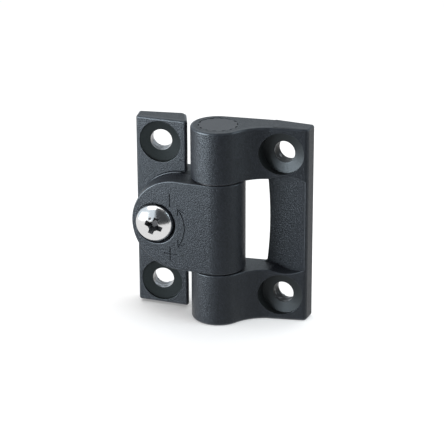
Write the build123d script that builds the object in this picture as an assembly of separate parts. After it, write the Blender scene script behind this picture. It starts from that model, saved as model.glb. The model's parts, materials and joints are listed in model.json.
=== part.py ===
from build123d import *
import math
import os

# A torque hinge: two cast leaves on one pin. The clamp leaf's middle knuckle is slit and
# squeezed on the pin by a screw, which sets the friction. The yoke leaf holds the pin.
# The origin is the middle of the clamp leaf's two screw holes, on its mounting face.
# Each leaf is drawn about the pin, reaching out along +X, with its mounting face behind at +Y.

# Knuckles and pin
knuckle_radius = 8.0
pin_setback = 11.0
pin_radius = 4.0
middle_knuckle_height = 27.5
knuckle_seam = 0.4
rest_fold = 14.0

# Leaves
yoke_height = 60.0
clamp_leaf_height = 58.6
leaf_reach = 25.4
clamp_edge_thickness = 4.9
clamp_face_slope = 10.4
clamp_inner_edge = 9.5
clamp_inner_waist = 0.9
clamp_back_relief = 1.3
clamp_back_taper = 1.5
root_sink = 0.5
yoke_edge_thickness = 4.9
yoke_face_slope = 14.6
yoke_neck_radius = 12.8
pad_start = 13.2
pad_step = 0.4
clamp_pad_start = 12.2
web_back_slope = 10.5
clamp_corner_radius = 0.8
yoke_corner_radius = 1.4
casting_edge_break = 0.45

# Fixing holes
hole_reach = 18.0
hole_spacing = 44.0
hole_radius = 3.2
head_seat_radius = 6.3
head_seat_height = 5.0
head_seat_fall = 0.6

# Clamp ear, its slit and its screw
ear_reach = 25.2
ear_face_slope = 12.0
slit_width = 0.7
clamp_screw_radius = 2.95
thread_clearance = 0.05
screw_hole_radius = 3.3
screw_head_radius = 5.85
screw_rim_height = 1.8
screw_dome_height = 2.0
screw_seat_height = 3.2
screw_seat_clearance = 0.4
screw_tip_setback = 0.8
recess_reach = 3.1
recess_arm_width = 1.5
recess_floor_width = 0.9
recess_depth = 2.4
recess_turn = -22.5
screw_tip_chamfer = 0.6
nut_across_flats = 10.0
nut_height = 5.0
nut_clearance = 0.1
nut_setback = 0.3

# Window and scoop of the yoke leaf
bar_start = 11.7
bar_edge_bow = 0.85
bar_edge_thickness = 1.4
scoop_end = 24.9
scoop_sagitta = 1.1
scoop_arch_start = 14.6
scoop_arch_peak = 20.3
scoop_arch_rise = 1.0
scoop_arch_fall = 1.1
window_corner_radius = 1.2

# Sleeve, washers and caps
sleeve_wall = 1.6
running_clearance = 0.04
sleeve_setback = 0.25
washer_radius = 7.2
washer_thickness = 0.3
cap_radius = 5.8
cap_thickness = 2.6
cap_recess = 0.1
cap_edge_break = 0.2
pin_end_gap = 0.2
pin_chamfer = 0.6

slot_height = middle_knuckle_height + 2 * knuckle_seam
sleeve_radius = pin_radius + running_clearance + sleeve_wall
far = 3 * leaf_reach
clear = 1.0


def sloped_line(angle, x, side=1):
    """Y, at x, of the line that leaves the knuckle as a tangent and climbs by angle."""
    start_x = -side * knuckle_radius * math.sin(math.radians(angle))
    start_y = side * knuckle_radius * math.cos(math.radians(angle))
    return start_y + (x - start_x) * math.tan(math.radians(angle))


def tangent_point(angle, side=1):
    """Where that line touches the knuckle, at its back (side 1) or its front (side -1)."""
    turn = math.radians(angle)
    return (-side * knuckle_radius * math.sin(turn), side * knuckle_radius * math.cos(turn))


def face_line(edge_thickness, slope, x):
    """Y, at x, of a leaf's sloped front face."""
    return pin_setback - edge_thickness - (leaf_reach - x) * math.tan(math.radians(slope))


def prism(profile, height):
    """A plan drawn in XY, made solid to the same height above and below the middle."""
    return extrude(profile, amount=height / 2, both=True)


def with_broken_ends(block):
    """Breaks the sharp outline of a casting's flat top and bottom."""
    ends = block.faces().sort_by(Axis.Z)
    return chamfer(ends[0].edges() + ends[-1].edges(), casting_edge_break)


def front_prism(outline):
    """An outline drawn in XZ, made solid from far in front to far behind."""
    return extrude(Plane.XZ * outline, amount=far, both=True)


def turned(points):
    """A solid of revolution about Z from its half section."""
    return revolve(Plane.XZ * make_face(Polyline(*points, close=True)), Axis.Z)


def facing_front(shape, x, y, z=0):
    """Puts a shape that was made along +Z at a place, pointing out to the front."""
    return Pos(x, y, z) * Rot(90, 0, 0) * shape


def fixing_hole():
    """Through hole with a round seat for a screw head, measured from the mounting face."""
    neck = head_seat_height - head_seat_fall
    section = [(0, -clear), (hole_radius, -clear), (hole_radius, neck), (head_seat_radius, head_seat_height),
               (head_seat_radius, far), (0, far)]
    return turned(section)


def fixing_holes():
    """The leaf's pair of holes, cut from the mounting face to the front."""
    tool = fixing_hole()
    return [facing_front(tool, hole_reach, pin_setback, z) for z in (-hole_spacing / 2, hole_spacing / 2)]


def clamp_plate():
    """The flat fixing part of the clamp leaf, thicker towards the knuckle."""
    inner_front = face_line(clamp_edge_thickness, clamp_face_slope, clamp_inner_edge)
    section = Polyline((clamp_inner_edge, inner_front), (leaf_reach, pin_setback - clamp_edge_thickness),
                       (leaf_reach, pin_setback), (clamp_pad_start, pin_setback),
                       (clamp_inner_edge + clamp_back_taper, pin_setback - clamp_back_relief), close=True)
    profile = make_face(section)
    front = profile.vertices().sort_by(Axis.Y)[:2]
    profile = fillet(front, radius=clamp_corner_radius)
    plate = with_broken_ends(prism(profile, clamp_leaf_height))
    narrow = clamp_inner_edge - clamp_inner_waist
    wide = clamp_inner_edge + clamp_inner_waist
    waist = make_face(Polyline((0, clamp_leaf_height), (narrow, clamp_leaf_height), (wide, 0),
                               (narrow, -clamp_leaf_height), (0, -clamp_leaf_height), close=True))
    return plate - front_prism(waist)


def clamp_jaws():
    """Middle knuckle and its full-round ear, one block before the slit."""
    beyond = ear_reach + clear
    round_radius = middle_knuckle_height / 2
    round_centre = ear_reach - round_radius
    web_back = sloped_line(web_back_slope, round_centre)
    section = Polyline(tangent_point(ear_face_slope, -1), (beyond, sloped_line(ear_face_slope, beyond, -1)),
                       (beyond, pin_setback - 2 * root_sink),
                       (round_centre + 2 * root_sink, pin_setback - root_sink),
                       (round_centre, web_back), tangent_point(web_back_slope), close=True)
    profile = Circle(knuckle_radius) + make_face(section)
    straight = round_centre + knuckle_radius + clear
    outline = Pos(round_centre, 0) * Circle(round_radius)
    outline += Pos(round_centre - straight / 2, 0) * Rectangle(straight, middle_knuckle_height)
    return prism(profile, middle_knuckle_height) & front_prism(outline)


def clamp_leaf():
    """Cast leaf with the split knuckle, drawn reaching out along +X."""
    leaf = clamp_plate() + clamp_jaws()
    leaf -= fixing_holes()
    leaf -= Cylinder(sleeve_radius, far)
    slit = Pos(far / 2, 0, 0) * Box(far, slit_width, middle_knuckle_height + clear)
    leaf -= Rot(0, 0, clamp_face_slope) * slit
    leaf -= facing_front(Cylinder(screw_hole_radius, far), hole_reach, 0)
    spotface = extrude(Circle(screw_head_radius + screw_seat_clearance), amount=far)
    leaf -= facing_front(spotface, hole_reach, -screw_seat_height)
    pocket_depth = nut_setback + nut_height
    pocket = extrude(RegularPolygon(nut_across_flats / 2 + nut_clearance, 6, major_radius=False), amount=far)
    leaf -= Pos(hole_reach, pin_setback - pocket_depth, 0) * Rot(-90, 0, 0) * pocket
    return leaf


def yoke_profile():
    """Plan of the yoke leaf: knuckle, curved neck and wedge-shaped fixing part."""
    face_at_pin = face_line(yoke_edge_thickness, yoke_face_slope, 0)
    pad_root = sloped_line(web_back_slope, pad_start)
    section = Polyline((0, face_at_pin), (leaf_reach, pin_setback - yoke_edge_thickness),
                       (leaf_reach, pin_setback), (pad_start + pad_step, pin_setback),
                       (pad_start, pad_root), tangent_point(web_back_slope), close=True)
    profile = Circle(knuckle_radius) + make_face(section)
    neck = profile.vertices().filter_by(lambda v: v.Y < pin_setback / 2 and v.X < pad_start)
    profile = fillet(neck, radius=yoke_neck_radius)
    corner = profile.vertices().group_by(Axis.X)[-1].sort_by(Axis.Y)[0]
    return fillet(corner, radius=yoke_corner_radius)


def scoop_tool():
    """Hollow in the front of the bar, where the ear and the screw head lie when the hinge is shut."""
    back = sloped_line(web_back_slope, bar_start) - bar_edge_thickness
    end_y = face_line(yoke_edge_thickness, yoke_face_slope, scoop_end)
    hollow = SagittaArc((bar_start, back), (scoop_end, end_y), scoop_sagitta)
    rest = Polyline((scoop_end, end_y), (leaf_reach + clear, end_y - clear), (leaf_reach + clear, -far),
                    (bar_start - clear, -far), (bar_start - clear, back), (bar_start, back))
    plan = prism(make_face([hollow, rest]), far)
    half = slot_height / 2
    end = (leaf_reach, half - scoop_arch_fall)
    arch = ThreePointArc((scoop_arch_start, half), (scoop_arch_peak, half + scoop_arch_rise), end)
    upper = make_face([arch, Polyline(end, (far, 0), (0, 0), (0, half), (scoop_arch_start, half))])
    return plan & front_prism(upper + mirror(upper, about=Plane.XZ))


def yoke_leaf():
    """Cast leaf with the upper and lower knuckles, the bowed window and the scooped bar."""
    leaf = with_broken_ends(prism(yoke_profile(), yoke_height))
    slot_start = -knuckle_radius - clear
    half = slot_height / 2
    side = ThreePointArc((bar_start, half), (bar_start + bar_edge_bow, 0), (bar_start, -half))
    ends = Polyline((bar_start, -half), (slot_start, -half), (slot_start, half), (bar_start, half))
    slot = make_face([side, ends])
    slot = fillet(slot.vertices().group_by(Axis.X)[-1], radius=window_corner_radius)
    leaf -= front_prism(slot)
    leaf -= scoop_tool()
    leaf -= fixing_holes()
    leaf -= Cylinder(pin_radius, far)
    seat = Pos(0, 0, yoke_height / 2) * extrude(Circle(cap_radius), amount=-cap_thickness - cap_recess)
    leaf -= seat
    return leaf - Rot(180, 0, 0) * seat


def hinge_pin():
    """Ground pin, fixed in the yoke's two knuckles, with chamfered ends."""
    length = yoke_height - 2 * (cap_thickness + cap_recess + pin_end_gap)
    pin = Cylinder(pin_radius, length)
    return chamfer(pin.edges().filter_by(GeomType.CIRCLE), pin_chamfer)


def friction_sleeve():
    """Split bearing sleeve between the clamp's bore and the pin."""
    length = middle_knuckle_height - 2 * sleeve_setback
    sleeve = Cylinder(sleeve_radius, length) - Cylinder(pin_radius + running_clearance, length)
    slit = Pos(far / 2, 0, 0) * Box(far, slit_width, far)
    return sleeve - Rot(0, 0, clamp_face_slope) * slit


def spacer_washer():
    """Thin washer in a seam between two knuckles, lying on the middle knuckle's end."""
    ring = Circle(washer_radius) - Circle(pin_radius + running_clearance)
    return Pos(0, 0, middle_knuckle_height / 2) * extrude(ring, amount=washer_thickness)


def pin_cap():
    """Flat plug that closes the upper knuckle over the pin's end, nearly flush with it."""
    top = yoke_height / 2 - cap_recess
    section = [(0, top - cap_thickness), (cap_radius, top - cap_thickness),
               (cap_radius, top - cap_edge_break), (cap_radius - cap_edge_break, top), (0, top)]
    return turned(section)


def friction_screw():
    """Pan-head screw with a cross recess, made along +Z with the head's seat at zero."""
    top = screw_rim_height + screw_dome_height
    length = pin_setback + screw_seat_height - screw_tip_setback
    shank = Pos(0, 0, -length / 2) * Cylinder(clamp_screw_radius, length)
    shank = chamfer(shank.edges().group_by(Axis.Z)[0], screw_tip_chamfer)
    side = Polyline((0, top), (0, 0), (screw_head_radius, 0), (screw_head_radius, screw_rim_height))
    dome_radius = (screw_head_radius**2 + screw_dome_height**2) / (2 * screw_dome_height)
    dome = RadiusArc((screw_head_radius, screw_rim_height), (0, top), -dome_radius)
    head = revolve(Plane.XZ * make_face([side, dome]), Axis.Z)
    recess = Part()
    for turn in (0, 90):
        arm = Rot(0, 0, recess_turn + turn)
        mouth = Pos(0, 0, top) * arm * Rectangle(2 * recess_reach, recess_arm_width)
        floor = Pos(0, 0, top - recess_depth) * arm * Rectangle(recess_reach, recess_floor_width)
        recess += loft([floor, mouth])
    return shank + (head - recess)


def clamp_nut():
    """Hexagon nut that the friction screw draws against, made along +Z from its front face."""
    nut = extrude(RegularPolygon(nut_across_flats / 2, 6, major_radius=False), amount=nut_height)
    hole = Cylinder(clamp_screw_radius + thread_clearance, far)
    return nut - hole


pin_place = Pos(hole_reach, -pin_setback, 0)
yoke_place = pin_place * Rot(0, 0, -rest_fold)
nut_front = pin_setback - nut_setback - nut_height

# The clamp side is drawn reaching out along +X, so it is mirrored to the left.
to_left = Plane.YZ
clamp_side = {
    "clamp_leaf": mirror(clamp_leaf(), about=to_left),
    "friction_sleeve": mirror(friction_sleeve(), about=to_left),
    "upper_spacer_washer": spacer_washer(),
    "lower_spacer_washer": Rot(180, 0, 0) * spacer_washer(),
    "friction_screw": facing_front(friction_screw(), -hole_reach, -screw_seat_height),
    "clamp_nut": Pos(-hole_reach, nut_front, 0) * Rot(-90, 0, 0) * clamp_nut(),
}
yoke_side = {
    "yoke_leaf": yoke_leaf(),
    "hinge_pin": hinge_pin(),
    "upper_pin_cap": pin_cap(),
    "lower_pin_cap": Rot(180, 0, 0) * pin_cap(),
}

os.makedirs("parts", exist_ok=True)
for name, shape in clamp_side.items():
    export_step(pin_place * shape, f"parts/{name}.step")
for name, shape in yoke_side.items():
    export_step(yoke_place * shape, f"parts/{name}.step")
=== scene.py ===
import json
import math

import bpy
from mathutils import Matrix, Vector


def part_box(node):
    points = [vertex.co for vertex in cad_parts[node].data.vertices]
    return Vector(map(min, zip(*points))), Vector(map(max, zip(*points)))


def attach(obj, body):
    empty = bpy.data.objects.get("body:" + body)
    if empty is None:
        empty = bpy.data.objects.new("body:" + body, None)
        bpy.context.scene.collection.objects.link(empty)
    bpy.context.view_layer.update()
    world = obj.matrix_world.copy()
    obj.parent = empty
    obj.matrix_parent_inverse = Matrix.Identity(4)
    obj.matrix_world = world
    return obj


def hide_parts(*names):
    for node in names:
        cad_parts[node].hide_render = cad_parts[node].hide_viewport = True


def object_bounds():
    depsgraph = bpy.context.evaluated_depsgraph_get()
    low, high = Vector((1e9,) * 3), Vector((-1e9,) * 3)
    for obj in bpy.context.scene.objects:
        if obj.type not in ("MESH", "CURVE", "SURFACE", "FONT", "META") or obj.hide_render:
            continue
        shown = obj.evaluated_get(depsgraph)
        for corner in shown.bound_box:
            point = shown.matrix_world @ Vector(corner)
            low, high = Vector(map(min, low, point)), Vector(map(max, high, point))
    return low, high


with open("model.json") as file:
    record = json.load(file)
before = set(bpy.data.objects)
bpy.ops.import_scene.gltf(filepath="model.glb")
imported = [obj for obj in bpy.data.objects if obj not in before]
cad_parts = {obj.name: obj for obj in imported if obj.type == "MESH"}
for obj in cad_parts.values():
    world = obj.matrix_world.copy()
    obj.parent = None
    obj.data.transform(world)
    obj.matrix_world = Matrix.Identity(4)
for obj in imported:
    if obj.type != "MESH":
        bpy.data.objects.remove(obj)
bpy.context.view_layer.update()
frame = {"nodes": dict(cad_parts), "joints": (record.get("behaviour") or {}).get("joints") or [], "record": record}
mm = 0.001

# Clamp leaf: a zinc casting, the flat fixing part in one piece with the middle knuckle and its
# slit round ear. It is powder coated matt black all over, and the coat rounds every edge a little.
# The minus, the plus and the turning arrow beside the screw are sunk in the mould.

same_place = 0.001 * mm  # points nearer than this are one
same_plane = math.radians(0.4)  # faces that turn less than this are one
sharp_angle = math.radians(30)
coat_edge = 0.32 * mm
seat_edge = 0.07 * mm
edge_slot = 1  # the coat of the edges is a casting's second finish

hole_spacing = 44 * mm
bore_radius = 3.2 * mm
seat_radius = 6.3 * mm
seat_level = 5.02 * mm  # the leaf's face, over its fixing face
seat_fall = 0.65 * mm  # a head seat lies less than this below that face
hole_margin = 1.04  # a hole's radius times this takes in its rounded rim
wall_lean = 0.3  # the share of a wall's normal that may point along the hole
clamp_out = Vector((0, -1, 0))
clamp_holes = [Vector((0, 0, side * hole_spacing / 2)) for side in (-1, 1)]


def alone(piece):
    """Leaves one piece selected and active."""
    bpy.ops.object.select_all(action="DESELECT")
    piece.select_set(True)
    bpy.context.view_layer.objects.active = piece


def shaped(piece, chosen=lambda place: True):
    """Opens a piece in edit mode, with the vertices selected whose place passes a test."""
    alone(piece)
    bpy.ops.object.mode_set(mode="EDIT")
    bpy.ops.mesh.select_mode(type="VERT")
    bpy.ops.mesh.select_all(action="DESELECT")
    bpy.ops.object.mode_set(mode="OBJECT")
    for vertex in piece.data.vertices:
        vertex.select = chosen(vertex.co)
    bpy.ops.object.mode_set(mode="EDIT")


def closed():
    """Leaves edit mode."""
    bpy.ops.object.mode_set(mode="OBJECT")


def primitive(kind, name, **settings):
    """A primitive by itself, with its size, turn and place in its mesh."""
    bpy.ops.object.select_all(action="DESELECT")
    getattr(bpy.ops.mesh, f"primitive_{kind}_add")(**settings)
    bpy.ops.object.transform_apply(location=True, rotation=True, scale=True)
    bpy.context.active_object.name = name
    return bpy.context.active_object


def finished(piece, kind, **settings):
    """Adds a modifier to a piece and applies it."""
    alone(piece)
    modifier = piece.modifiers.new(kind.lower(), kind)
    for name, value in settings.items():
        setattr(modifier, name, value)
    bpy.ops.object.modifier_apply(modifier=modifier.name)


def cut(piece, tool, operation="DIFFERENCE"):
    """Takes a closed tool out of a piece, joins the two, or keeps what they share."""
    finished(piece, "BOOLEAN", operation=operation, object=tool, solver="EXACT")
    bpy.data.objects.remove(tool)


def smooth(piece, angle=35):
    """Shades a piece smooth, with its flat faces kept flat and its steep edges sharp."""
    alone(piece)
    bpy.ops.mesh.customdata_custom_splitnormals_clear()
    shaped(piece)
    bpy.ops.mesh.faces_shade_smooth()
    bpy.ops.mesh.select_mode(type="EDGE")
    bpy.ops.mesh.mark_sharp(clear=True)
    bpy.ops.mesh.select_all(action="DESELECT")
    bpy.ops.mesh.edges_select_sharp(sharpness=math.radians(angle))
    bpy.ops.mesh.mark_sharp()
    closed()
    finished(piece, "WEIGHTED_NORMAL", keep_sharp=True, weight=80)


def cast_from(node, name):
    """A copy of a casting's solid with its flat faces whole."""
    casting = bpy.data.objects.new(name, frame["nodes"][node].data.copy())
    bpy.context.scene.collection.objects.link(casting)
    shaped(casting)
    bpy.ops.mesh.remove_doubles(threshold=same_place)
    bpy.ops.mesh.dissolve_limited(angle_limit=same_plane)
    closed()
    return casting


class Socket:
    """A number that varies over a surface, which can be written in a sum."""

    def __init__(self, finish, out):
        self.finish = finish
        self.out = out

    def maths(self, operation, other):
        return self.finish.add("ShaderNodeMath", {"operation": operation}, {0: self, 1: other})

    def __add__(self, other):
        return self.maths("ADD", other)

    def __mul__(self, other):
        return self.maths("MULTIPLY", other)

    __radd__ = __add__
    __rmul__ = __mul__


class Finish:
    """The finish of a surface, or of the studio around it, made of procedural nodes."""

    def __init__(self, name, kind="materials", shader="Principled BSDF"):
        self.holder = getattr(bpy.data, kind).new(name)
        self.holder.use_nodes = True
        self.tree = self.holder.node_tree
        self.shader = self.tree.nodes[shader]
        self.place = self.add("ShaderNodeTexCoord", output="Object")

    def add(self, kind, settings=None, inputs=None, output=0):
        """Adds a node: its settings first, then the values or links of its sockets."""
        node = self.tree.nodes.new(kind)
        for name, value in (settings or {}).items():
            setattr(node, name, value)
        for name, value in (inputs or {}).items():
            self.feed(node, name, value)
        return Socket(self, node.outputs[output])

    def feed(self, node, name, value):
        """Links a node's socket to another one, or sets it to a value."""
        if isinstance(value, Socket):
            self.tree.links.new(value.out, node.inputs[name])
        else:
            node.inputs[name].default_value = value

    def set(self, **sockets):
        """Links or sets the shader's own sockets."""
        for name, value in sockets.items():
            self.feed(self.shader, name.replace("_", " "), value)
        return self

    def noise(self, size, detail=2, stretch=(1, 1, 1)):
        """Soft noise with lumps of one size, longer along an axis where stretch is under 1."""
        place = self.add("ShaderNodeMapping", None, {"Vector": self.place, "Scale": stretch})
        return self.add("ShaderNodeTexNoise", None,
                        {"Vector": place, "Scale": 1 / size, "Detail": detail})

    def range(self, mask, low, high, first=0.0, second=1.0):
        """Stretches a mask between two levels, and holds it outside them."""
        return self.add("ShaderNodeMapRange", None,
                        {"Value": mask, "From Min": low, "From Max": high,
                         "To Min": first, "To Max": second})

    def between(self, mask, first, second):
        """A colour between two, by a mask. The node's colour sockets go by number."""
        return self.add("ShaderNodeMix", {"data_type": "RGBA"},
                        {0: mask, 6: (*first, 1), 7: (*second, 1)}, output=2)

    def bump(self, height, distance):
        """A fine relief of the surface, its height in metres."""
        return self.add("ShaderNodeBump", None, {"Height": height, "Distance": distance})


def grained(name, grain, dark, pale, roughness, rougher, relief, detail=2, stretch=(1, 1, 1),
            **surface):
    """A finish with a grain of one size, which is paler, rougher and higher on its lumps."""
    finish = Finish(name)
    lumps = finish.noise(grain, detail, stretch)
    return finish.set(Base_Color=finish.between(lumps, dark, pale),
                      Roughness=roughness + lumps * rougher,
                      Normal=finish.bump(lumps, relief), **surface)


def seat_finish_with_painted_shade(name, dark, pale, shine):
    """The coat of the head seats, its colour and shine set apart to paint the shade in them."""
    return grained(name, grain=0.5 * mm, dark=dark, pale=pale, roughness=0.36, rougher=0.08,
                   relief=0.02 * mm, Specular_IOR_Level=shine, Specular_Tint=coat_tint)


def bore_finish(name, bare_from, roughness, shine, fade=0.4):
    """The coat inside the bores, rubbed through in patches where screws went in and out."""
    finish = Finish(name)
    rings = finish.noise(size=0.9 * mm, detail=3, stretch=(0.5, 1, 0.5))
    rubbed = finish.range(rings, low=bare_from, high=bare_from + fade)
    return finish.set(Base_Color=finish.between(rubbed, bore_black, bare_zinc), Metallic=rubbed,
                      Roughness=roughness + rings * 0.12, Specular_IOR_Level=shine,
                      Normal=finish.bump(rings, distance=0.015 * mm))


def coated(piece, *finishes):
    """Gives a piece its first finish all over, and holds the others ready."""
    piece.data.materials.clear()
    for finish in finishes:
        piece.data.materials.append(finish.holder)


def touched(piece, finish, chosen):
    """Gives a second finish to the faces whose middle and normal pass a test."""
    piece.data.materials.append(finish.holder)
    for face in piece.data.polygons:
        if chosen(face.center, face.normal):
            face.material_index = len(piece.data.materials) - 1


def at_hole(place, radius, out, holes):
    """Tells whether a place lies within a radius of the axis of one of a leaf's holes."""
    return any((place - hole).cross(out).length < hole_margin * radius for hole in holes)


def edges_coated(casting, out, holes):
    """Rounds a casting's outer edges in their own finish, and those of its head seats less."""
    shaped(casting, lambda place: False)
    bpy.ops.mesh.select_mode(type="EDGE")
    bpy.ops.mesh.edges_select_sharp(sharpness=sharp_angle)
    closed()
    beside = {}
    for face in casting.data.polygons:
        for key in face.edge_keys:
            beside.setdefault(key, []).append(face)
    weights = casting.data.attributes.new("bevel_weight_edge", "FLOAT", "EDGE")
    for edge, weight in zip(casting.data.edges, weights.data):
        first, second = beside[edge.key]
        middle = sum((casting.data.vertices[index].co for index in edge.vertices), Vector()) / 2
        is_seat = ((middle - holes[0]).dot(out) > seat_level / 2
                   and at_hole(middle, seat_radius, out, holes))
        is_outer = (second.center - first.center).dot(first.normal) < 0
        weight.value = edge.select * (seat_edge / coat_edge if is_seat else is_outer)
    finished(casting, "BEVEL", limit_method="WEIGHT", width=coat_edge, segments=3,
             material=edge_slot, use_clamp_overlap=False)


def holes_coated(casting, out, holes, shaded_seat_coat, bore_coat):
    """Gives a leaf's holes their coats, one with painted shade on the head seats, one in the bores."""
    def is_wall(normal):
        return abs(normal.dot(out)) < wall_lean

    def is_floor(middle):
        return 0 < seat_level - (middle - holes[0]).dot(out) < seat_fall

    touched(casting, shaded_seat_coat, lambda middle, normal: at_hole(middle, seat_radius, out, holes)
            and (is_wall(normal) or is_floor(middle)))
    touched(casting, bore_coat, lambda middle, normal: at_hole(middle, bore_radius, out, holes)
            and is_wall(normal))


coat_tint = (0.86, 0.95, 1.0, 1)
coat_black, coat_grey = (0.0005, 0.0006, 0.0010), (0.009, 0.0100, 0.0130)
# Paler edges: partly a thinner coat, partly a painted highlight along every rounded edge.
edge_painted_highlight_dark, edge_painted_highlight_pale = (0.004, 0.0045, 0.0055), (0.018, 0.020, 0.024)
bore_black, bare_zinc = (0.003, 0.0034, 0.0036), (0.42, 0.43, 0.45)

powder_coat = Finish("matt_black_powder_coat")
coat_grain = powder_coat.noise(size=0.28 * mm, detail=1)
coat_lumps = powder_coat.noise(size=1.1 * mm)
coat_cloud = powder_coat.noise(size=9 * mm)
coat_speckle = powder_coat.range(coat_grain, low=0.35, high=0.7)
powder_coat.set(
    Base_Color=powder_coat.between(coat_speckle * 0.8 + coat_cloud * 0.2, coat_black, coat_grey),
    Roughness=0.38 + coat_lumps * 0.1, Specular_IOR_Level=0.25, Specular_Tint=coat_tint,
    Normal=powder_coat.bump(coat_grain, distance=0.13 * mm))

# The thin coat on the edges carries their painted highlight in its paler colour.
edge_coat_and_painted_highlight = Finish("thin_coat_and_painted_highlight_on_the_edges")
edge_wear_and_highlight = edge_coat_and_painted_highlight.noise(size=1.2 * mm)
edge_coat_and_painted_highlight.set(Base_Color=edge_coat_and_painted_highlight.between(edge_wear_and_highlight, edge_painted_highlight_dark, edge_painted_highlight_pale),
              Roughness=0.28 + edge_wear_and_highlight * 0.14, Specular_IOR_Level=0.3,
              Specular_Tint=coat_tint)

clamp_casting = cast_from("clamp_leaf", "clamp_leaf_casting")
coated(clamp_casting, powder_coat, edge_coat_and_painted_highlight)
edges_coated(clamp_casting, clamp_out, clamp_holes)

# The marks, about the screw's axis in the plane of the ear's face.

ear_slope = math.radians(12)
ear_out = Vector((-math.sin(ear_slope), -math.cos(ear_slope), 0))
square_on = 0.9999
ear_face = max((face for face in frame["nodes"]["clamp_leaf"].data.polygons
                if face.normal.dot(ear_out) > square_on), key=lambda face: face.area)
screw_joint = next(joint for joint in frame["joints"] if joint["name"] == "friction_screw_turn")
screw_place = Vector(screw_joint["pos_m"])
ear_gap = (ear_face.center - screw_place).dot(ear_out) / ear_out.y
mark_frame = (Matrix.Translation(screw_place + Vector((0, ear_gap, 0)))
              @ Matrix.Rotation(-ear_slope, 4, "Z"))

mark_width = 0.50 * mm
mark_depth = 0.26 * mm
mark_step = 0.02 * mm
floor_share = 0.35  # the width of a groove's floor, against its mouth
arrow_radius = 9.3 * mm
arrow_middle = -0.5 * mm
arrow_turn = math.radians(39)
barb_length = 2.2 * mm
barb_spread = math.radians(33)
barb_lean = math.radians(7)
sign_reach = 4.7 * mm
sign_length = 4.4 * mm
minus_height = 7.8 * mm
plus_height = 8.9 * mm
upright = math.pi / 2


def stroke(x, z, length, turn, steps=0):
    """A straight groove, narrower at its floor. Crossing ones end at depths a step apart."""
    tool = primitive("cube", "stroke", size=1, scale=(length, 2 * mark_depth, mark_width))
    shaped(tool, lambda place: place.y > 0)
    shorter = 1 - mark_width * (1 - floor_share) / length
    bpy.ops.transform.resize(value=(shorter, 1, floor_share))
    closed()
    tool.data.transform(Matrix.Translation((x, -steps * mark_step, z))
                        @ Matrix.Rotation(-turn, 4, "Y"))
    return tool


def barb(side, spread, steps):
    """One short stroke of an arrow head, at the upper or lower end of the arc."""
    tip_x = arrow_radius * math.cos(arrow_turn)
    tip_z = arrow_middle + side * arrow_radius * math.sin(arrow_turn)
    heading = side * (arrow_turn - math.pi / 2 - barb_lean + spread)
    return stroke(tip_x + math.cos(heading) * barb_length / 2,
                  tip_z + math.sin(heading) * barb_length / 2, barb_length, heading, steps)


def arc_stroke():
    """The arrow's curved groove, spun from one end to the other and turned to its middle."""
    tool = primitive("plane", "arc_stroke", size=1)
    tool.data.transform(Matrix.Translation((arrow_radius, 0, 0))
                        @ Matrix.Diagonal((mark_width, 2 * mark_depth, 1, 1)))
    shaped(tool, lambda place: place.y > 0)
    bpy.ops.transform.resize(value=(floor_share, 1, 1), center_override=(arrow_radius, 0, 0))
    bpy.ops.mesh.select_all(action="SELECT")
    bpy.ops.mesh.spin(steps=24, angle=2 * arrow_turn, center=(0, 0, 0), axis=(0, 1, 0))
    bpy.ops.mesh.select_all(action="SELECT")
    bpy.ops.mesh.remove_doubles(threshold=same_place)
    bpy.ops.mesh.normals_make_consistent(inside=False)
    closed()
    turns = [math.atan2(vertex.co.z, vertex.co.x) for vertex in tool.data.vertices]
    tool.data.transform(Matrix.Translation((0, 0, arrow_middle))
                        @ Matrix.Rotation(sum(turns) / len(turns), 4, "Y"))
    return tool


marks = [stroke(sign_reach, minus_height, sign_length, upright),
         stroke(sign_reach, -plus_height, sign_length, upright),
         stroke(sign_reach, -plus_height, sign_length, 0, steps=1),
         arc_stroke()]
marks += [barb(side, spread, steps) for side in (-1, 1)
          for spread, steps in ((-barb_spread, 1), (barb_spread, 2))]

# The ear's face is split through the signs and through the arrow, so that its rim and the grooves
# make no face with a hole in it.
shaped(clamp_casting)
for split_place, split_way in (((sign_reach, 0, 0), (1, 0, 0)), ((0, 0, arrow_middle), (0, 0, 1))):
    bpy.ops.mesh.select_all(action="SELECT")
    bpy.ops.mesh.bisect(plane_co=mark_frame @ Vector(split_place),
                        plane_no=mark_frame.to_3x3() @ Vector(split_way), threshold=same_place)
closed()
for mark in marks:
    mark.data.transform(mark_frame)
    cut(clamp_casting, mark)
smooth(clamp_casting)

# The seats' coats differ from the face's in colour and shine: painted shade in the head seats.
clamp_seat_coat_with_painted_shade = seat_finish_with_painted_shade("black_coat_with_painted_shade_in_the_clamp_seats", dark=(0.008, 0.0096, 0.0096),
                              pale=(0.012, 0.0140, 0.0140), shine=0.04)
clamp_bore_coat = bore_finish("rubbed_coat_in_the_clamp_bores", bare_from=0.36, roughness=0.16,
                              shine=0.5)
holes_coated(clamp_casting, clamp_out, clamp_holes, clamp_seat_coat_with_painted_shade, clamp_bore_coat)
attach(clamp_casting, "clamp_side")
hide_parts("clamp_leaf")

# Yoke leaf: a second zinc casting with the same coat. It carries the upper and lower knuckles, and
# between them a bowed window and a scooped bar, where the ear lies when the hinge is shut.

yoke_mounts = [mount for mount in frame["record"]["mounts"]
               if mount["name"] in ("yoke_upper_hole", "yoke_lower_hole")]
yoke_out = Vector(yoke_mounts[0]["axis"])
yoke_holes = [Vector(mount["pos_m"]) for mount in yoke_mounts]
yoke_casting = cast_from("yoke_leaf", "yoke_leaf_casting")
coated(yoke_casting, powder_coat, edge_coat_and_painted_highlight)
edges_coated(yoke_casting, yoke_out, yoke_holes)
smooth(yoke_casting)

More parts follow.
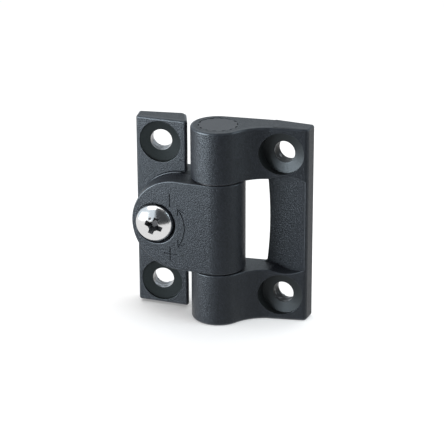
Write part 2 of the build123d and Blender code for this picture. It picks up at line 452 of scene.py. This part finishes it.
# Painted shade in the yoke's head seats too, in a darker copy of the coat.
yoke_seat_coat_with_painted_shade = seat_finish_with_painted_shade("black_coat_with_painted_shade_in_the_yoke_seats", dark=(0.003, 0.0036, 0.0036),
                             pale=(0.006, 0.0068, 0.0068), shine=0.22)
yoke_bore_coat = bore_finish("whole_coat_in_the_yoke_bores", bare_from=0.52, roughness=0.34,
                             shine=0.08)
holes_coated(yoke_casting, yoke_out, yoke_holes, yoke_seat_coat_with_painted_shade, yoke_bore_coat)
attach(yoke_casting, "yoke_side")
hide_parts("yoke_leaf")

# Pin caps: black nylon plugs, pressed in flush over the pin's ends. Each is moulded with flutes
# round its side, and the ribs between them grip the knuckle's wall.

flute_count = 14
flute_radius = 0.9 * mm
flute_depth = 0.42 * mm
cap_edge = 0.1 * mm


def broken(piece, width, segments, angle=30):
    """Rounds a piece's sharp edges, or with one segment breaks them flat."""
    finished(piece, "BEVEL", limit_method="ANGLE", angle_limit=math.radians(angle), width=width,
             segments=segments)


nylon = grained("matt_black_nylon", grain=0.3 * mm, dark=(0.012, 0.013, 0.0155),
                pale=(0.022, 0.024, 0.028), roughness=0.42, rougher=0.1, relief=0.03 * mm,
                Specular_IOR_Level=0.3)

for cap_node in ("upper_pin_cap", "lower_pin_cap"):
    cap_low, cap_high = (Vector(corner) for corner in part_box(cap_node))
    cap_middle = (cap_low + cap_high) / 2
    cap_radius = (cap_high.x - cap_low.x) / 2
    cap_height = cap_high.z - cap_low.z
    flute_reach = cap_radius - flute_depth + flute_radius
    cap = primitive("cylinder", cap_node + "_plug", vertices=112, radius=cap_radius,
                    depth=cap_height, location=cap_middle)
    for index in range(flute_count):
        turn = 2 * math.pi * (index + 0.5) / flute_count
        flute_way = Vector((math.cos(turn), math.sin(turn), 0))
        cut(cap, primitive("cylinder", "flute_cutter", vertices=24, radius=flute_radius,
                           depth=2 * cap_height, location=cap_middle + flute_way * flute_reach))
    broken(cap, cap_edge, segments=2)
    smooth(cap)
    coated(cap, nylon)
    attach(cap, "yoke_side")
    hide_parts(cap_node)

# Friction screw: a stainless M6 pan-head screw. Its head is cold formed and polished, with a cross
# recess and a small dimple punched in it, and its rolled thread runs through the ear to the nut.

head_radius = 5.85 * mm
head_rim = 1.8 * mm
head_dome = 2.0 * mm
head_edge = 1.65 * mm
head_top = head_rim + head_dome
dome_reach = 4.1 * mm
dome_radius = (head_radius**2 + head_dome**2) / (2 * head_dome)
dome_middle = Vector((0, 0, head_top - dome_radius))
recess_turn = math.radians(-22.5)
recess_reach = 2.95 * mm
recess_arm = 1.6 * mm
recess_depth = 2.4 * mm
recess_foot = (0.35, 0.55, 1)  # a bar's length and width at its foot, against those at the rim
recess_mouth = (1.65, 1.45, 1)  # and as far above the rim as the foot lies below it
core_foot = 0.8 * mm
core_mouth = 2.4 * mm
dimple_turn = recess_turn + math.radians(135)
dimple_reach = 2.6 * mm
dimple_radius = 0.9 * mm
dimple_depth = 0.16 * mm
formed_edge = 0.07 * mm
punched_reach = 3.3 * mm  # the punched faces lie this near to the axis,
punched_from = 0.8 * mm  # above this level, and so far under the dome
punched_depth = 0.09 * mm
thread_pitch = 1.0 * mm
thread_crest = 2.95 * mm
thread_root = 2.38 * mm
thread_steps = 40
thread_spare = 2  # turns wound below its start and cut off, with one more past its end
thread_in_head = 0.4 * mm
screw_length = 13.4 * mm
tip_break = 0.5 * mm


def dome_level(reach):
    """The height of the head's dome at a distance from its axis."""
    return math.sqrt(dome_radius**2 - reach**2) - dome_radius + head_top


head = primitive("uv_sphere", "friction_screw_turned", segments=128, ring_count=128,
                 radius=dome_radius, location=dome_middle)
dome_end = dome_level(dome_reach)
dome_slope = math.tan(math.asin(dome_reach / dome_radius))
edge_level = dome_end - (head_radius - dome_reach) * dome_slope
shaped(head)
bpy.ops.mesh.bisect(plane_co=(0, 0, dome_end), plane_no=(0, 0, 1), clear_inner=True,
                    use_fill=True, threshold=same_place)
closed()
shaped(head, lambda place: place.z < dome_end + same_place)
bpy.ops.mesh.extrude_region_move(
    TRANSFORM_OT_translate={"value": (0, 0, edge_level - dome_end)})
bpy.ops.transform.resize(value=(head_radius / dome_reach, head_radius / dome_reach, 1),
                         center_override=(0, 0, edge_level))
bpy.ops.mesh.extrude_region_move(TRANSFORM_OT_translate={"value": (0, 0, -edge_level)})
bpy.ops.mesh.select_all(action="SELECT")
bpy.ops.mesh.normals_make_consistent(inside=False)
closed()
shaped(head, lambda place: abs(place.z - edge_level) < same_place)
bpy.ops.mesh.bevel(offset=head_edge, segments=10, affect="EDGES")
closed()


def recess_bar(turn):
    """One bar of the punch that forms the cross, tapered towards its foot."""
    bar = primitive("cube", "punch_bar", size=1, location=(0, 0, head_top),
                    scale=(2 * recess_reach, recess_arm, 2 * recess_depth))
    shaped(bar, lambda place: place.z < head_top)
    bpy.ops.transform.resize(value=recess_foot, center_override=(0, 0, head_top))
    closed()
    shaped(bar, lambda place: place.z > head_top)
    bpy.ops.transform.resize(value=recess_mouth, center_override=(0, 0, head_top))
    closed()
    bar.data.transform(Matrix.Rotation(turn, 4, "Z"))
    return bar


for turn in (recess_turn, recess_turn + math.pi / 2):
    cut(head, recess_bar(turn))
cut(head, primitive("cone", "punch_core", vertices=32, radius1=core_foot, radius2=core_mouth,
                    depth=2 * recess_depth, location=(0, 0, head_top)))
dimple_place = (dimple_reach * math.cos(dimple_turn), dimple_reach * math.sin(dimple_turn),
                dome_level(dimple_reach) + dimple_radius - dimple_depth)
cut(head, primitive("ico_sphere", "dimple_punch", subdivisions=4, radius=dimple_radius,
                    location=dimple_place))
broken(head, formed_edge, segments=2, angle=28)


def thread(name, crest, root, start, end):
    """A solid length of rolled thread along Z: a V with its tip out, wound up and cut level."""
    rod = primitive("circle", name, vertices=4, radius=1, rotation=(math.pi / 2, 0, 0))
    shaped(rod, lambda place: place.x < -0.5)
    bpy.ops.mesh.delete(type="VERT")
    closed()
    for point in rod.data.vertices:
        is_tip = point.co.x > 0.5
        point.co = (crest if is_tip else root, 0, point.co.z * thread_pitch / 2)
    rod.data.transform(Matrix.Translation((0, 0, start - thread_spare * thread_pitch)))
    turns = math.ceil((end - start) / thread_pitch) + thread_spare + 1
    finished(rod, "SCREW", axis="Z", screw_offset=thread_pitch, iterations=turns,
             steps=thread_steps, render_steps=thread_steps)
    shaped(rod)
    bpy.ops.mesh.remove_doubles(threshold=same_place)
    for level, cleared in ((start, "clear_inner"), (end, "clear_outer")):
        bpy.ops.mesh.select_all(action="SELECT")
        bpy.ops.mesh.bisect(plane_co=(0, 0, level), plane_no=(0, 0, 1), use_fill=True,
                            threshold=same_place, **{cleared: True})
    bpy.ops.mesh.select_all(action="SELECT")
    bpy.ops.mesh.normals_make_consistent(inside=False)
    closed()
    return rod


shank = thread("thread", thread_crest, thread_root, -screw_length, thread_in_head)
tip_radius = thread_crest - tip_break
turning_length = screw_length + 2 * mm
tip_cone = primitive("cone", "tip_turning", vertices=64, radius1=tip_radius,
                     radius2=tip_radius + turning_length, depth=turning_length,
                     location=(0, 0, turning_length / 2 - screw_length))
cut(shank, tip_cone, "INTERSECT")
cut(head, shank, "UNION")
smooth(head, angle=30)

bright_steel = grained("polished_stainless_steel", grain=0.3 * mm, dark=(0.66, 0.66, 0.66),
                       pale=(0.78, 0.78, 0.78), roughness=0.13, rougher=0.08,
                       relief=0.006 * mm, detail=3, Metallic=1.0)
# The recess and the dimple are dark steel: partly duller punched metal, partly painted shade.
punched_steel_and_painted_shade = grained("punched_steel_and_painted_shade_of_the_recess", grain=0.4 * mm, dark=(0.07, 0.072, 0.078),
                        pale=(0.30, 0.305, 0.315), roughness=0.32, rougher=0.2,
                        relief=0.05 * mm, detail=3, Metallic=1.0)
coated(head, bright_steel)
touched(head, punched_steel_and_painted_shade, lambda middle, normal: middle.xy.length < punched_reach
        and middle.z > punched_from
        and (middle - dome_middle).length < dome_radius - punched_depth)
screw_seat = Vector((0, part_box("friction_screw")[1][1] - screw_length, 0))
head.data.transform(Matrix.Translation(screw_seat) @ Matrix.Rotation(math.pi / 2, 4, "X"))
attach(head, "adjusting_screw")
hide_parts("friction_screw")

# Clamp nut: a stainless M6 hexagon nut sunk in the back of the clamp leaf, its corners chamfered
# on the lathe and its bore tapped.

nut_low, nut_high = (Vector(corner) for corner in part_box("clamp_nut"))
nut_height = nut_high.y - nut_low.y
nut_flats = nut_high.z - nut_low.z
nut_radius = nut_flats / math.cos(math.pi / 6) / 2
nut_chamfer = 0.55 * mm
thread_play = 0.32 * mm
nut = primitive("cylinder", "clamp_nut_turned", vertices=6, radius=nut_radius, depth=nut_height)
blank = primitive("cylinder", "nut_blank", vertices=96, radius=nut_radius, depth=nut_height)
broken(blank, nut_chamfer, segments=1)
cut(nut, blank, "INTERSECT")
cut(nut, thread("tap", thread_crest + thread_play, thread_root + thread_play, -nut_height,
                nut_height))
smooth(nut, angle=30)
nut.data.transform(Matrix.Translation((nut_low + nut_high) / 2)
                   @ Matrix.Rotation(math.pi / 2, 4, "X"))

plain_steel = grained("plain_stainless_steel", grain=0.35 * mm, dark=(0.46, 0.46, 0.465),
                      pale=(0.60, 0.60, 0.60), roughness=0.28, rougher=0.14, relief=0.02 * mm,
                      detail=3, Metallic=1.0)
coated(nut, plain_steel)
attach(nut, "clamp_side")
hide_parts("clamp_nut")

# Hinge pin, friction sleeve and spacer washers: the pin is ground steel, the sleeve natural acetal
# and the washers black acetal. They keep their solids, and only the washers' edges show.

ground_steel = grained("ground_steel", grain=0.2 * mm, dark=(0.50, 0.51, 0.52),
                       pale=(0.62, 0.62, 0.63), roughness=0.22, rougher=0.12,
                       relief=0.004 * mm, stretch=(0.05, 0.05, 1), Metallic=1.0)
natural_acetal = grained("natural_acetal", grain=1.5 * mm, dark=(0.58, 0.56, 0.51),
                         pale=(0.66, 0.64, 0.59), roughness=0.38, rougher=0.1,
                         relief=0.01 * mm)
black_acetal = grained("black_acetal", grain=0.4 * mm, dark=(0.010, 0.010, 0.012),
                       pale=(0.018, 0.018, 0.020), roughness=0.40, rougher=0.1,
                       relief=0.01 * mm)
for node, finish in (("hinge_pin", ground_steel), ("friction_sleeve", natural_acetal),
                     ("upper_spacer_washer", black_acetal),
                     ("lower_spacer_washer", black_acetal)):
    for slot in frame["nodes"][node].material_slots:
        slot.material = finish.holder

# Stage: a white floor that keeps a soft shadow, a wide light overhead, a bright one low at the
# left, two weak ones at the right and one for the screw alone. Reflections also show a dark card
# and a bluish studio. The camera stands as the fit to the photo's outlines gives it.

camera_aim = Vector((19.079, -11.0, -0.116)) * mm
floor_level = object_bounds()[0].z
floor_size = 1.3
floor = primitive("plane", "studio_floor", size=floor_size, location=(0, 0, floor_level))


def ray_kinds(finish):
    """Whether a place is seen straight from the camera, in a reflection, or through glass."""
    return [finish.add("ShaderNodeLightPath", output=f"Is {kind} Ray")
            for kind in ("Camera", "Glossy", "Transmission")]


glow_from, glow_whole = 0.1, 0.4
least_glow = 0.25
paper = Finish("white_floor")
paper.set(Base_Color=(0.9, 0.9, 0.9, 1), Roughness=0.9, Specular_IOR_Level=0.0)
seen, mirrored, through = ray_kinds(paper)
distance = paper.add("ShaderNodeVectorMath", {"operation": "LENGTH"}, {0: paper.place}, output=1)
glow_share = paper.range(distance, glow_from, glow_whole, least_glow, 1.0)
glow = paper.add("ShaderNodeEmission", None, {"Color": (1, 1, 1, 1), "Strength": 1.0})
lit_paper = Socket(paper, paper.shader.outputs[0])
cover = paper.add("ShaderNodeMixShader", None,
                  {0: seen * glow_share + mirrored + through, 1: lit_paper, 2: glow})
paper.feed(paper.tree.nodes["Material Output"], "Surface", cover)
coated(floor, paper)


def lamp(name, azimuth, elevation, distance, width, height, radiance, colour):
    """A soft rectangular light that faces the hinge, its azimuth to the right of the front."""
    turn = math.radians(azimuth)
    rise = math.radians(elevation)
    way = Vector((math.sin(turn) * math.cos(rise), -math.cos(turn) * math.cos(rise),
                  math.sin(rise)))
    light = bpy.data.lights.new(name, "AREA")
    light.shape = "RECTANGLE"
    light.size = width
    light.size_y = height
    light.energy = radiance * math.pi * width * height
    light.color = colour
    stand = bpy.data.objects.new(name, light)
    bpy.context.scene.collection.objects.link(stand)
    stand.matrix_world = (Matrix.Translation(camera_aim + way * distance)
                          @ Matrix.Rotation(turn, 4, "Z")
                          @ Matrix.Rotation(math.pi / 2 - rise, 4, "X"))
    return stand


def limited(lamps, name, pieces, state):
    """Has lamps light these pieces alone (INCLUDE), or everything but these (EXCLUDE)."""
    group = bpy.data.collections.new(name)
    for piece in pieces:
        group.objects.link(piece)
    for link in group.collection_objects:
        link.light_linking.link_state = state
    for stand in lamps:
        stand.light_linking.receiver_collection = group


neutral = (1.0, 1.0, 1.0)
cool = (0.88, 0.94, 1.0)
sky_blue = (0.76, 0.90, 1.0)
left_softbox = lamp("left_softbox", azimuth=-55, elevation=5, distance=0.25, width=0.22,
                    height=0.14, radiance=27.0, colour=cool)
lamp("overhead_softbox", azimuth=180, elevation=84, distance=0.7, width=1.2, height=1.2,
     radiance=2.2, colour=neutral)
lamp("right_reflector", azimuth=80, elevation=20, distance=0.5, width=0.3, height=0.4,
     radiance=3.2, colour=sky_blue)
right_fill = lamp("right_fill", azimuth=65, elevation=-5, distance=0.4, width=0.35, height=0.2,
                  radiance=6.0, colour=cool)
screw_softbox = lamp("screw_softbox", azimuth=-62, elevation=8, distance=0.25, width=0.26,
                     height=0.16, radiance=0.9, colour=neutral)
limited((left_softbox, right_fill), "not_lit_by_left_softbox_and_right_fill", (floor, head),
        "EXCLUDE")
limited((screw_softbox,), "lit_by_screw_softbox", (head,), "INCLUDE")

card_width, card_height = 1.22, 1.2
card_place = (0.60, -0.13, floor_level + card_height / 2)
card_grey = 0.07
card = primitive("plane", "dark_card", size=1)
card.data.transform(Matrix.Translation(card_place) @ Matrix.Rotation(math.pi / 2, 4, "X")
                    @ Matrix.Diagonal((card_width, card_height, 1, 1)))
card_paint = Finish("dark_card")
card_paint.set(Base_Color=(0, 0, 0, 1), Specular_IOR_Level=0.0,
               Emission_Color=(0.9, 0.95, 1.0, 1), Emission_Strength=card_grey)
coated(card, card_paint)
card.visible_camera = card.visible_diffuse = False
card.visible_shadow = card.visible_transmission = False

fill = 0.35
reflected_sky = (0.84, 0.93, 1.0)
studio = Finish("studio", kind="worlds", shader="Background")
seen, mirrored, through = ray_kinds(studio)
studio.set(Color=studio.between(mirrored, neutral, reflected_sky),
           Strength=studio.range(seen + mirrored + through, 0.0, 1.0, fill, 1.0))
bpy.context.scene.world = studio.holder

camera_azimuth = math.radians(9.851)
camera_elevation = math.radians(21.848)
camera_roll = math.radians(-0.190)
camera_distance = 559.735 * mm
camera_lens = bpy.data.cameras.new("photo_camera")
camera_lens.sensor_width = 36
camera_lens.lens = 155.38
camera_lens.clip_start = 0.01
camera = bpy.data.objects.new("photo_camera", camera_lens)
bpy.context.scene.collection.objects.link(camera)
camera.matrix_world = (Matrix.Translation(camera_aim) @ Matrix.Rotation(camera_azimuth, 4, "Z")
                       @ Matrix.Rotation(math.pi / 2 - camera_elevation, 4, "X")
                       @ Matrix.Rotation(camera_roll, 4, "Z")
                       @ Matrix.Translation((0, 0, camera_distance)))
bpy.context.scene.camera = camera
bpy.context.scene.view_settings.view_transform = "Standard"
